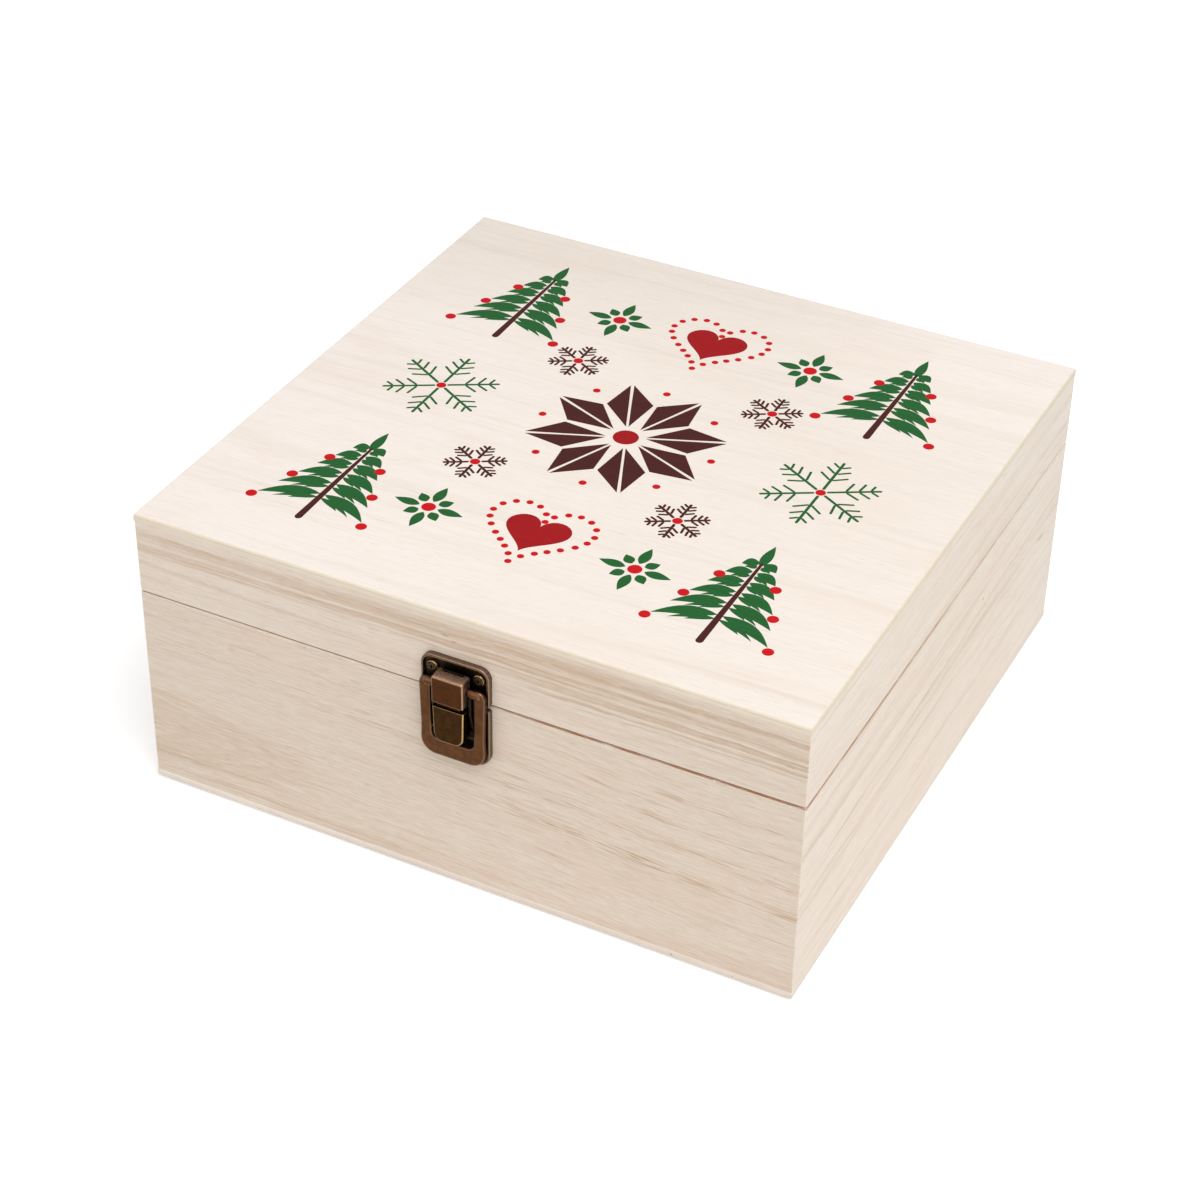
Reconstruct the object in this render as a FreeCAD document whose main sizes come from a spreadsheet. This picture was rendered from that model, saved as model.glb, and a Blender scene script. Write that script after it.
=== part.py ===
import FreeCAD
import Part
import Sketcher
import math
import os
from types import SimpleNamespace

# A wooden keepsake box with a hinged lid and a toggle latch, in millimetres.
# The origin is the middle of the underside, the front faces -Y and +Z is up.

SIZES = {
    # Wooden box
    "box_width": "300",
    "box_depth": "294",
    "box_height": "137.5",
    "seam_height": "98.9",
    "seam_gap": "0.6",
    "wall_thickness": "9",
    "bottom_thickness": "5",
    "top_thickness": "3.5",
    "bottom_round": "3.2",
    "top_round": "1",
    "corner_arris": "0.6",
    "rim_arris": "0.35",
    # Panel pins of the bottom
    "brad_radius": "0.7",
    "brad_head_radius": "1.3",
    "brad_head_height": "0.6",
    "brad_length": "20",
    "brad_spacing": "105",
    "brad_sink": "0.3",
    # Screws
    "shank_radius": "1.15",
    "point_length": "2",
    "point_radius": "0.2",
    "pan_head_radius": "2.6",
    "pan_head_height": "1.7",
    "pan_head_round": "0.9",
    "flat_head_radius": "2.2",
    "flat_head_height": "1",
    "recess_length": "2.8",
    "recess_width": "0.75",
    "recess_depth": "0.6",
    "screw_length": "8",
    "hole_clearance": "0.05",
    # Latch plates, measured from the seam and from the middle of the latch.
    # The base plate and all that lies below the seam is given as a drop.
    "latch_center": "0.6",
    "plate_half_width": "15.3",
    "pan_depth": "2.6",
    "sheet_thickness": "0.9",
    "pan_edge_round": "0.6",
    "keeper_low": "1",
    "keeper_high": "18.3",
    "keeper_corner": "5",
    "base_high": "1.4",
    "base_low": "29.4",
    "base_corner": "6",
    "plate_seam_corner": "0.8",
    "plate_margin": "6",
    "keeper_screw_x": "10.5",
    "keeper_screw_rise": "12.4",
    "base_screw_x": "10.8",
    "base_screw_rise": "13",
    # Lip of the keeper
    "lip_half_width": "4.4",
    "lip_root": "9.9",
    "lip_rise": "13.8",
    "lip_reach": "1.4",
    "lip_sheet": "0.8",
    # Ears of the base plate and the rivets in them
    "ear_inner": "7.8",
    "ear_thickness": "1",
    "ear_low": "11",
    "ear_round": "1.1",
    "pivot_rise": "6.9",
    "pivot_reach": "4.4",
    "rivet_radius": "0.6",
    "rivet_head_radius": "0.95",
    "rivet_head_height": "0.35",
    "rivet_length": "4.4",
    # Lever
    "lever_back": "3",
    "lever_thickness": "2.6",
    "lever_half_width": "15",
    "lever_waist_half": "14.4",
    "lever_foot_half": "14.9",
    "lever_top": "9",
    "lever_waist_rise": "15",
    "lever_bottom": "28.6",
    "window_half_width": "9.5",
    "window_bottom": "20.5",
    "arm_outer_round": "3.6",
    "arm_inner_round": "1.5",
    "window_round": "3",
    "lever_foot_round": "7",
    "lever_edge_round": "1.2",
    "lever_knuckle_radius": "2",
    "lever_knuckle_end": "12",
    "knuckle_tip": "13.4",
    "knuckle_tip_radius": "0.9",
    "knuckle_room": "0.25",
    # Draw link: sleeve, hook and pin
    "link_half_width": "7.1",
    "link_pin_rise": "14.8",
    "link_pin_reach": "4.3",
    "link_pin_radius": "0.75",
    "link_pin_grip": "2.4",
    "sleeve_back": "3",
    "sleeve_front": "8.8",
    "sleeve_top": "1.4",
    "sleeve_bottom": "18.3",
    "sleeve_bottom_half": "6.6",
    "sleeve_corner": "4.2",
    "hook_back": "3.2",
    "hook_front": "9.3",
    "hook_bottom": "1.2",
    "hook_top": "13.2",
    "hook_slope": "0.5",
    "hook_edge_round": "1",
    "hook_brow_round": "1.3",
    "lip_clearance": "0.4",
    "stem_half_width": "5",
    "stem_bottom": "13",
    "stem_bridge": "2.2",
    # Hinges
    "hinge_place": "88",
    "hinge_length": "30",
    "leaf_height": "14",
    "leaf_thickness": "1",
    "leaf_corner": "1.5",
    "knuckle_radius": "2.2",
    "knuckle_stand": "0.3",
    "knuckle_length": "10",
    "knuckle_gap": "0.2",
    "hinge_pin_radius": "1",
    "hinge_pin_head_radius": "1.5",
    "hinge_pin_head_height": "0.6",
    "hinge_screw_x": "9.6",
    "hinge_screw_rise": "8.4",
    "stop_length": "5",
    "stop_thickness": "1",
    "stop_clearance": "0.2",
    "lid_open_angle": "105",
    # Working values
    "cut_overrun": "1",
}

# How far apart two places may be and still count as one when edges are picked.
TOUCH = 1e-4
# The rounding of an ear's end, as a share of the ear's radius about its rivet.
EAR_END_SHARE = 0.9

X_AXIS = FreeCAD.Vector(1, 0, 0)
Y_AXIS = FreeCAD.Vector(0, 1, 0)
Z_AXIS = FreeCAD.Vector(0, 0, 1)
FACING_FRONT = FreeCAD.Rotation(X_AXIS, 90)
FACING_BACK = FreeCAD.Rotation(Z_AXIS, 180).multiply(FACING_FRONT)
ALONG_X = FreeCAD.Rotation(Y_AXIS, 90)
ALONG_Y = FreeCAD.Rotation(X_AXIS, -90)
UPRIGHT = FreeCAD.Rotation()
UPSIDE_DOWN = FreeCAD.Rotation(X_AXIS, 180)


class Size:
    """A length with its value now and the expression that ties it to the sheet."""

    def __init__(self, value, text):
        self.value = value
        self.text = text

    def join(self, sign, other, value):
        return Size(value, f"({self.text} {sign} {other.text})")

    def __add__(self, other):
        other = as_size(other)
        return self.join("+", other, self.value + other.value)

    def __sub__(self, other):
        other = as_size(other)
        return self.join("-", other, self.value - other.value)

    def __mul__(self, other):
        other = as_size(other)
        return self.join("*", other, self.value * other.value)

    def __truediv__(self, other):
        other = as_size(other)
        return self.join("/", other, self.value / other.value)

    def __neg__(self):
        return Size(-self.value, f"(-{self.text})")


def as_size(item):
    return item if isinstance(item, Size) else Size(item, str(item))


def least(*sizes):
    return Size(min(size.value for size in sizes), f"min({'; '.join(size.text for size in sizes)})")


ZERO = Size(0.0, "0")

doc = FreeCAD.newDocument("keepsake_box")
sheet = doc.addObject("Spreadsheet::Sheet", "Sizes")
for row, (alias, number) in enumerate(SIZES.items(), start=1):
    sheet.set(f"A{row}", alias)
    sheet.set(f"B{row}", number)
    sheet.setAlias(f"B{row}", alias)
doc.recompute()
s = SimpleNamespace(**{alias: Size(float(getattr(sheet, alias)), f"Sizes.{alias}") for alias in SIZES})


def bind(item, path, size):
    """Tie a property of a document object to the sheet."""
    item.setExpression(path, as_size(size).text)


def vector(x, y, z):
    return FreeCAD.Vector(as_size(x).value, as_size(y).value, as_size(z).value)


def place(item, x, y, z, rotation):
    """Put an object at a place that follows the sheet."""
    item.Placement = FreeCAD.Placement(vector(x, y, z), rotation)
    for axis, size in zip("xyz", (x, y, z)):
        bind(item, f"Placement.Base.{axis}", size)


def new_body(label):
    body = doc.addObject("PartDesign::Body", label)
    body.Label = label
    return body


def plane_of(body, role):
    return next(part for part in body.Origin.OriginFeatures if part.Role == role)


def tie_point(sketch, line, x, y):
    """Hold the first point of a line at a place that follows the sheet."""
    for kind, size, other_axis in (("DistanceX", x, -2), ("DistanceY", y, -1)):
        size = as_size(size)
        if size.text == ZERO.text:
            sketch.addConstraint(Sketcher.Constraint("PointOnObject", line, 1, other_axis))
            continue
        index = sketch.addConstraint(Sketcher.Constraint(kind, -1, 1, line, 1, size.value))
        bind(sketch, f"Constraints[{index}]", size)


def outline(body, role, points, height=ZERO):
    """A closed straight-sided outline on one of the body's planes, raised by height."""
    sketch = body.newObject("Sketcher::SketchObject", f"{body.Label}_outline")
    sketch.AttachmentSupport = (plane_of(body, role), [""])
    sketch.MapMode = "FlatFace"
    bind(sketch, "AttachmentOffset.Base.z", height)
    corners = [vector(x, y, ZERO) for x, y in points]
    count = len(corners)
    for index, corner in enumerate(corners):
        sketch.addGeometry(Part.LineSegment(corner, corners[(index + 1) % count]), False)
    for index in range(count):
        sketch.addConstraint(Sketcher.Constraint("Coincident", index, 2, (index + 1) % count, 1))
    for index, (x, y) in enumerate(points):
        tie_point(sketch, index, x, y)
    return sketch


def rectangle(left, right, low, high):
    return [(left, low), (right, low), (right, high), (left, high)]


def pad(body, sketch, length, midplane=False):
    feature = body.newObject("PartDesign::Pad", f"{body.Label}_pad")
    feature.Profile = sketch
    feature.Midplane = midplane
    bind(feature, "Length", length)
    doc.recompute()
    return feature


def revolve(body, sketch):
    feature = body.newObject("PartDesign::Revolution", f"{body.Label}_turned")
    feature.Profile = sketch
    feature.ReferenceAxis = (sketch, ["V_Axis"])
    doc.recompute()
    return feature


def primitive(body, kind, sizes, x, y, z, rotation=UPRIGHT):
    """An added or cut box, cylinder or cone of the body."""
    feature = body.newObject(f"PartDesign::{kind}", f"{body.Label}_{kind}")
    for name, size in sizes.items():
        bind(feature, name, size)
    place(feature, x, y, z, rotation)
    doc.recompute()
    return feature


def drill(body, radius, depth, x, y, z, rotation):
    before = body.Shape.Volume
    primitive(body, "SubtractiveCylinder", {"Radius": radius, "Height": depth}, x, y, z, rotation)
    if not body.Shape.Volume < before:
        raise RuntimeError(f"a hole of {body.Label} cut nothing")


def same(one, other):
    return abs(one - as_size(other).value) < TOUCH


def level(axis, size):
    """A test that an edge lies wholly at one place along an axis."""

    def test(edge):
        box = edge.BoundBox
        return same(getattr(box, f"{axis}Min"), size) and same(getattr(box, f"{axis}Max"), size)

    return test


def runs(axis):
    """A test that an edge is straight along an axis."""

    def test(edge):
        box = edge.BoundBox
        spans = {"X": box.XLength, "Y": box.YLength, "Z": box.ZLength}
        return all((spans[name] > TOUCH) == (name == axis) for name in spans)

    return test


def soften(body, kind, size_name, size, *tests):
    """Round or chamfer the edges that pass every test."""
    base = body.Tip
    names = [
        f"Edge{index}"
        for index, edge in enumerate(base.Shape.Edges, start=1)
        if all(test(edge) for test in tests)
    ]
    if not names:
        raise RuntimeError(f"no edge to soften on {body.Label}")
    feature = body.newObject(f"PartDesign::{kind}", f"{body.Label}_{kind}")
    feature.Base = (base, names)
    bind(feature, size_name, size)
    doc.recompute()
    return feature


def fillet(body, radius, *tests):
    return soften(body, "Fillet", "Radius", radius, *tests)


def chamfer(body, size, *tests):
    return soften(body, "Chamfer", "Size", size, *tests)


def hollow(body, thickness, *tests):
    """Leave a sheet behind the faces, open where a face passes one of the tests."""
    base = body.Tip
    names = [
        f"Face{index}"
        for index, face in enumerate(base.Shape.Faces, start=1)
        if any(test(face) for test in tests)
    ]
    feature = body.newObject("PartDesign::Thickness", f"{body.Label}_sheet")
    feature.Base = (base, names)
    feature.Reversed = True
    bind(feature, "Value", thickness)
    doc.recompute()
    return feature


def group(label, template, placements):
    """Copies of one small solid, kept together in one node."""
    feature = doc.addObject("Part::Feature", label)
    feature.Label = label
    copies = []
    for placement in placements:
        copy = template.Shape.copy()
        copy.Placement = placement
        copies.append(copy)
    feature.Shape = Part.makeCompound(copies)
    feature.Placement = FreeCAD.Placement()
    return feature


half_width = s.box_width / 2
half_depth = s.box_depth / 2
lid_low = s.seam_height + s.seam_gap
lid_high = s.box_height - s.top_thickness
seam_middle = s.seam_height + s.seam_gap / 2
latch_frame = FreeCAD.Placement(vector(s.latch_center, -half_depth, s.seam_height), FACING_FRONT)

# The latch has its full size where both front boards can hold its plates, and is smaller on lower boards.
lid_room = (lid_high - s.seam_height) / (s.keeper_high + s.plate_margin)
body_room = (s.seam_height - s.bottom_thickness) / (s.plate_margin + s.base_low)
latch_fit = least(as_size(1), lid_room, body_room)
t = SimpleNamespace(**{alias: size * latch_fit for alias, size in vars(s).items()})

# Wooden walls: mitred boards whose outer corners and rims have a small arris


def wall(label, turn, length, span, low, high, rim):
    """One board, modelled as the front one and then turned about the vertical."""
    body = new_body(label)
    body.Placement = FreeCAD.Placement(FreeCAD.Vector(), FreeCAD.Rotation(Z_AXIS, turn))
    half = length / 2
    face = -span / 2
    flat = s.corner_arris
    thick = s.wall_thickness
    plan = [
        (-half + flat, face),
        (half - flat, face),
        (half - flat / 2, face + flat / 2),
        (half - thick, face + thick),
        (-half + thick, face + thick),
        (-half + flat / 2, face + flat / 2),
    ]
    pad(body, outline(body, "XY_Plane", plan, low), high - low)
    outside = (face + flat / 2).value + TOUCH
    chamfer(body, s.rim_arris, level("Z", rim), lambda edge: edge.BoundBox.YMax < outside)
    return body


SIDES = (("front", 0), ("right", 90), ("back", 180), ("left", 270))
walls = {}
for side, turn in SIDES:
    length, span = (s.box_width, s.box_depth) if turn % 180 == 0 else (s.box_depth, s.box_width)
    walls["body", side] = wall(
        f"body_{side}_wall", turn, length, span, s.bottom_thickness, s.seam_height, s.seam_height
    )
    walls["lid", side] = wall(f"lid_{side}_wall", turn, length, span, lid_low, lid_high, lid_low)

# Bottom and top panels


def panel(label, low, thickness, round_size, rounded):
    body = new_body(label)
    plan = rectangle(-half_width, half_width, -half_depth, half_depth)
    pad(body, outline(body, "XY_Plane", plan, low), thickness)
    fillet(body, round_size, level("Z", rounded))
    return body


bottom_panel = panel("bottom_panel", ZERO, s.bottom_thickness, s.bottom_round, ZERO)
panel("lid_top_panel", lid_high, s.top_thickness, s.top_round, s.box_height)

# Panel pins: driven up through the bottom into the walls, heads sunk into the underside


def turned(label, profile):
    """A small solid turned about its own Z axis from a half profile."""
    body = new_body(label)
    revolve(body, outline(body, "XZ_Plane", profile))
    return body


brad_form = turned(
    "brad_form",
    [
        (ZERO, ZERO),
        (s.brad_head_radius, ZERO),
        (s.brad_head_radius, -s.brad_head_height),
        (s.brad_radius, -s.brad_head_height),
        (s.brad_radius, s.point_length - s.brad_length),
        (s.point_radius, -s.brad_length),
        (ZERO, -s.brad_length),
    ],
)
brad_placements = []
brad_bore = s.brad_radius + s.hole_clearance
brad_head_bore = s.brad_head_radius + s.hole_clearance
brad_depth = s.brad_length + s.brad_sink + s.hole_clearance - s.bottom_thickness
head_depth = s.brad_sink + s.brad_head_height
for side, turn in SIDES:
    span = s.box_depth if turn % 180 == 0 else s.box_width
    line = (s.wall_thickness - span) / 2
    about = FreeCAD.Placement(FreeCAD.Vector(), FreeCAD.Rotation(Z_AXIS, turn))
    for step in (-1, 0, 1):
        along = s.brad_spacing * step if step else ZERO
        drill(walls["body", side], brad_bore, brad_depth, along, line, s.bottom_thickness, UPRIGHT)
        seat = FreeCAD.Placement(vector(along, line, s.brad_sink), UPSIDE_DOWN)
        brad_placements.append(about.multiply(seat))
        across = {"front": (along, line), "back": (-along, -line)}
        across.update({"right": (-line, along), "left": (line, -along)})
        x, y = across[side]
        drill(bottom_panel, brad_bore, s.bottom_thickness, x, y, ZERO, UPRIGHT)
        drill(bottom_panel, brad_head_bore, head_depth, x, y, ZERO, UPRIGHT)
group("bottom_brads", brad_form, brad_placements)

# Screws: a pan head for the latch and a countersunk head for the hinges, both with a cross recess


def cross_recess(body, kit, top):
    for long_x in (True, False):
        x_size = kit.recess_length if long_x else kit.recess_width
        y_size = kit.recess_width if long_x else kit.recess_length
        sizes = {"Length": x_size, "Width": y_size, "Height": kit.recess_depth + kit.cut_overrun}
        primitive(body, "SubtractiveBox", sizes, -x_size / 2, -y_size / 2, top - kit.recess_depth)


def shank(kit):
    return [
        (kit.shank_radius, kit.point_length - kit.screw_length),
        (kit.point_radius, -kit.screw_length),
        (ZERO, -kit.screw_length),
    ]


pan_screw = turned(
    "pan_screw_form",
    [
        (ZERO, t.pan_head_height),
        (t.pan_head_radius, t.pan_head_height),
        (t.pan_head_radius, ZERO),
        (t.shank_radius, ZERO),
    ]
    + shank(t),
)
fillet(pan_screw, t.pan_head_round, level("Z", t.pan_head_height))
cross_recess(pan_screw, t, t.pan_head_height)

flat_screw = turned(
    "flat_screw_form",
    [
        (ZERO, ZERO),
        (s.flat_head_radius, ZERO),
        (s.shank_radius, -s.flat_head_height),
    ]
    + shank(s),
)
cross_recess(flat_screw, s, ZERO)

screw_bore = s.shank_radius + s.hole_clearance
sink_radius = s.flat_head_radius + s.hole_clearance


def countersink(leaf, x, y):
    """A hole in a hinge leaf for a countersunk screw whose head lies flush."""
    drill(leaf, screw_bore, s.leaf_thickness, x, y, ZERO, UPRIGHT)
    cone = {"Radius1": screw_bore, "Radius2": sink_radius, "Height": s.flat_head_height}
    primitive(leaf, "SubtractiveCone", cone, x, y, s.leaf_thickness - s.flat_head_height)


# Latch plates: shallow trays of pressed sheet with their floor on the wood and a rim that faces out


def latch_body(label):
    body = new_body(label)
    place(body, s.latch_center, -half_depth, s.seam_height, FACING_FRONT)
    return body


def pan(label, seam_edge, far_edge, far_corner):
    body = latch_body(label)
    half = t.plate_half_width
    low, high = sorted((seam_edge, far_edge), key=lambda size: size.value)
    pad(body, outline(body, "XY_Plane", rectangle(-half, half, low, high)), t.pan_depth)
    fillet(body, far_corner, runs("Z"), level("Y", far_edge))
    hollow(body, t.sheet_thickness, level("Z", t.pan_depth))
    fillet(body, t.plate_seam_corner, runs("Z"), level("Y", seam_edge))

    def outside(edge):
        return all(
            same(abs(point.X), half) or same(point.Y, seam_edge) or same(point.Y, far_edge)
            for point in edge.Vertexes
        )

    fillet(body, t.pan_edge_round, level("Z", t.pan_depth), outside)
    return body


keeper = pan("keeper_plate", t.keeper_low, t.keeper_high, t.keeper_corner)
floor_middle = t.sheet_thickness / 2
lip_front = t.pan_depth + t.lip_reach
lip_back = lip_front - t.lip_sheet
lip_profile = [
    (t.lip_root, floor_middle),
    (t.lip_root, lip_back),
    (t.lip_root + t.lip_sheet, lip_front),
    (t.lip_rise, lip_front),
    (t.lip_rise, lip_back),
    (t.lip_root + t.lip_sheet * 2, lip_back),
    (t.lip_root + t.lip_sheet * 2, floor_middle),
]
pad(keeper, outline(keeper, "YZ_Plane", lip_profile), t.lip_half_width * 2, midplane=True)

base = pan("latch_base_plate", -t.base_high, -t.base_low, t.base_corner)
ear_back = t.pivot_reach - t.ear_round
ear_front = t.pivot_reach + t.ear_round
ear_top = t.pivot_rise + t.ear_round
ear_foot = -t.base_high - t.sheet_thickness * 2
ear_profile = [
    (-t.ear_low, floor_middle),
    (ear_foot, floor_middle),
    (ear_foot, ear_back),
    (ear_top, ear_back),
    (ear_top, ear_front),
    (ear_foot, ear_front),
    (-t.ear_low, t.pan_depth + t.sheet_thickness),
]
for side_x in (t.ear_inner, -t.ear_inner - t.ear_thickness):
    pad(base, outline(base, "YZ_Plane", ear_profile, side_x), t.ear_thickness)
fillet(base, t.ear_round * EAR_END_SHARE, runs("X"), level("Y", ear_top))
rivet_bore = t.rivet_radius + t.hole_clearance
drill(
    base,
    rivet_bore,
    t.ear_inner * 2 + t.ear_thickness * 4,
    -t.ear_inner - t.ear_thickness * 2,
    t.pivot_rise,
    t.pivot_reach,
    ALONG_X,
)

keeper_places = [(t.keeper_screw_x * sign, t.keeper_screw_rise) for sign in (-1, 1)]
base_places = [(t.base_screw_x * sign, -t.base_screw_rise) for sign in (-1, 1)]


def drill_for_screws(plate, board, places):
    """Holes through a latch plate's floor, and pilot holes in the board behind it."""
    bore = t.shank_radius + t.hole_clearance
    depth = t.screw_length - t.sheet_thickness + t.hole_clearance
    for x, y in places:
        drill(plate, bore, t.sheet_thickness, x, y, ZERO, UPRIGHT)
        drill(board, bore, depth, s.latch_center + x, -half_depth, s.seam_height + y, ALONG_Y)


drill_for_screws(keeper, walls["lid", "front"], keeper_places)
drill_for_screws(base, walls["body", "front"], base_places)


def on_latch(x, y, z, rotation=UPRIGHT):
    return latch_frame.multiply(FreeCAD.Placement(vector(x, y, z), rotation))


group("keeper_screws", pan_screw, [on_latch(x, y, t.sheet_thickness) for x, y in keeper_places])
group("latch_base_screws", pan_screw, [on_latch(x, y, t.sheet_thickness) for x, y in base_places])

# Lever: a U-shaped frame whose arms end in knuckles that cover the ears and turn on two stub rivets

lever = latch_body("latch_lever")
right_half = [
    (t.window_half_width, -t.window_bottom),
    (t.window_half_width, t.lever_top),
    (t.lever_half_width, t.lever_top),
    (t.lever_waist_half, -t.lever_waist_rise),
    (t.lever_foot_half, -t.lever_bottom),
]
lever_outline = right_half + [(-x, y) for x, y in reversed(right_half)]
lever_front = t.lever_back + t.lever_thickness
pad(lever, outline(lever, "XY_Plane", lever_outline, t.lever_back), t.lever_thickness)
for across, radius in (
    (t.window_half_width, t.arm_inner_round),
    (t.lever_half_width, t.arm_outer_round),
):
    for side_x in (across, -across):
        fillet(lever, radius, runs("Z"), level("Y", t.lever_top), level("X", side_x))
fillet(lever, t.window_round, runs("Z"), level("Y", -t.window_bottom))
fillet(lever, t.lever_foot_round, runs("Z"), level("Y", -t.lever_bottom))
fillet(lever, t.lever_edge_round, level("Z", lever_front))
arm_back = t.pivot_rise.value - TOUCH
fillet(lever, t.lever_edge_round, level("Z", t.lever_back), lambda edge: edge.BoundBox.YMax > arm_back)
rivet_start = t.ear_inner - t.rivet_head_height
rivet_end = rivet_start + t.rivet_length + t.hole_clearance
shell_end = t.ear_inner + t.ear_thickness + t.knuckle_room
shell_low = t.pivot_rise - t.ear_round / 2


def about_pivot(kind, start, end, radius):
    """The same cylinder about the pivot on both arms."""
    for first in (start, -end):
        sizes = {"Radius": radius, "Height": end - start}
        primitive(lever, kind, sizes, first, t.pivot_rise, t.pivot_reach, ALONG_X)


about_pivot("AdditiveCylinder", rivet_start, t.lever_knuckle_end, t.lever_knuckle_radius)
for first, near, far in (
    (t.lever_knuckle_end, t.lever_knuckle_radius, t.knuckle_tip_radius),
    (-t.knuckle_tip, t.knuckle_tip_radius, t.lever_knuckle_radius),
):
    sizes = {"Radius1": near, "Radius2": far, "Height": t.knuckle_tip - t.lever_knuckle_end}
    primitive(lever, "AdditiveCone", sizes, first, t.pivot_rise, t.pivot_reach, ALONG_X)
about_pivot("SubtractiveCylinder", rivet_start, shell_end, t.ear_round + t.knuckle_room)
shell_back = t.pivot_reach - t.lever_knuckle_radius * 2
for first in (rivet_start, -shell_end):
    for low, wide, high in ((shell_low, 2, 4), (t.pivot_rise + t.lever_knuckle_radius * 2, 4, 2)):
        sizes = {
            "Length": shell_end - rivet_start,
            "Width": t.lever_knuckle_radius * wide,
            "Height": t.lever_knuckle_radius * high,
        }
        bottom = low - t.lever_knuckle_radius * wide
        primitive(lever, "SubtractiveBox", sizes, first, bottom, shell_back)
about_pivot("SubtractiveCylinder", rivet_start, rivet_end, rivet_bore)
grip_x = t.window_half_width + t.link_pin_grip
pin_bore = t.link_pin_radius + t.hole_clearance
drill(
    lever,
    pin_bore,
    (grip_x + t.hole_clearance) * 2,
    -grip_x - t.hole_clearance,
    -t.link_pin_rise,
    t.link_pin_reach,
    ALONG_X,
)

rivet_form = turned(
    "rivet_form",
    [
        (ZERO, ZERO),
        (t.rivet_head_radius, ZERO),
        (t.rivet_head_radius, t.rivet_head_height),
        (t.rivet_radius, t.rivet_head_height),
        (t.rivet_radius, t.rivet_length),
        (ZERO, t.rivet_length),
    ],
)
group(
    "lever_rivets",
    rivet_form,
    [
        on_latch(rivet_start, t.pivot_rise, t.pivot_reach, ALONG_X),
        on_latch(-rivet_start, t.pivot_rise, t.pivot_reach, ALONG_X.inverted()),
    ],
)

# Draw link: a sleeve on a pin in the lever, and the hook whose stem lies in the sleeve

link_pin = latch_body("link_pin")
primitive(
    link_pin,
    "AdditiveCylinder",
    {"Radius": t.link_pin_radius, "Height": grip_x * 2},
    -grip_x,
    -t.link_pin_rise,
    t.link_pin_reach,
    ALONG_X,
)

sleeve = latch_body("link_sleeve")
sleeve_outline = [
    (-t.sleeve_bottom_half, -t.sleeve_bottom),
    (t.sleeve_bottom_half, -t.sleeve_bottom),
    (t.link_half_width, -t.sleeve_top),
    (-t.link_half_width, -t.sleeve_top),
]
pad(sleeve, outline(sleeve, "XY_Plane", sleeve_outline, t.sleeve_back), t.sleeve_front - t.sleeve_back)
fillet(sleeve, t.sleeve_corner, runs("Z"), level("Y", -t.sleeve_bottom))
hollow(sleeve, t.sheet_thickness, level("Z", t.sleeve_back), level("Y", -t.sleeve_top))
fillet(
    sleeve,
    t.hook_edge_round,
    level("Z", t.sleeve_front),
    lambda edge: not level("Y", -t.sleeve_top)(edge),
)
drill(
    sleeve,
    pin_bore,
    t.link_half_width * 2 + t.cut_overrun * 2,
    -t.link_half_width - t.cut_overrun,
    -t.link_pin_rise,
    t.link_pin_reach,
    ALONG_X,
)

hook = latch_body("draw_hook")
hook_profile = [
    (t.hook_bottom, t.hook_back),
    (t.hook_bottom, t.hook_front),
    (t.hook_top, t.hook_front),
    (t.hook_top + t.hook_slope, t.hook_back),
]
pad(hook, outline(hook, "YZ_Plane", hook_profile), t.link_half_width * 2, midplane=True)
hollow(hook, t.sheet_thickness, level("Z", t.hook_back), level("Y", t.hook_bottom))
fillet(hook, t.hook_brow_round, runs("X"), level("Z", t.hook_front), level("Y", t.hook_top))
side_edge = t.link_half_width.value - TOUCH
fillet(
    hook,
    t.hook_edge_round,
    runs("Y"),
    level("Z", t.hook_front),
    lambda edge: abs(edge.BoundBox.XMin) > side_edge,
)
notch_half = t.lip_half_width + t.lip_clearance
notch_front = lip_front + t.lip_clearance
primitive(
    hook,
    "SubtractiveBox",
    {
        "Length": notch_half * 2,
        "Width": t.hook_top + t.hook_slope + t.cut_overrun - t.lip_root,
        "Height": notch_front - t.hook_back + t.cut_overrun,
    },
    -notch_half,
    t.lip_root,
    t.hook_back - t.cut_overrun,
)
stem_front = t.sleeve_front - t.sheet_thickness
stem_back = stem_front - t.sheet_thickness
hook_wall = t.hook_front - t.sheet_thickness / 2
stem_profile = [
    (-t.stem_bottom, stem_back),
    (-t.stem_bottom, stem_front),
    (t.hook_bottom - t.sheet_thickness, stem_front),
    (t.hook_bottom + t.sheet_thickness, hook_wall),
    (t.hook_bottom + t.stem_bridge, hook_wall),
    (t.hook_bottom + t.stem_bridge, stem_back),
]
pad(hook, outline(hook, "YZ_Plane", stem_profile), t.stem_half_width * 2, midplane=True)

# Hinges: leaves on the back face, knuckles on a pin, and a tail on the lid's knuckle that stops the lid

knuckle_axis = s.knuckle_radius + s.knuckle_stand
hinge_half = s.hinge_length / 2
notch = s.knuckle_radius + s.knuckle_stand
middle_half = s.knuckle_length / 2 - s.knuckle_gap / 2
outer_start = s.knuckle_length / 2 + s.knuckle_gap / 2
pin_hole = s.hinge_pin_radius + s.hole_clearance
open_radians = math.radians(s.lid_open_angle.value)
open_cos = Size(math.cos(open_radians), f"cos({s.lid_open_angle.text})")
open_sin = Size(math.sin(open_radians), f"sin({s.lid_open_angle.text})")


def hinge_body(label, across):
    body = new_body(label)
    place(body, across, half_depth, seam_middle, FACING_BACK)
    return body


def knuckle(body, start, length):
    sizes = {"Radius": s.knuckle_radius, "Height": length}
    primitive(body, "AdditiveCylinder", sizes, start, ZERO, knuckle_axis, ALONG_X)


def bore_knuckles(body):
    drill(body, pin_hole, s.hinge_length, -hinge_half, ZERO, knuckle_axis, ALONG_X)


def closed_place(rise, reach):
    """Where a point of the stop tail lies with the lid shut, from where it lies with the lid open."""
    return (rise * open_cos + reach * open_sin, reach * open_cos - rise * open_sin + knuckle_axis)


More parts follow.
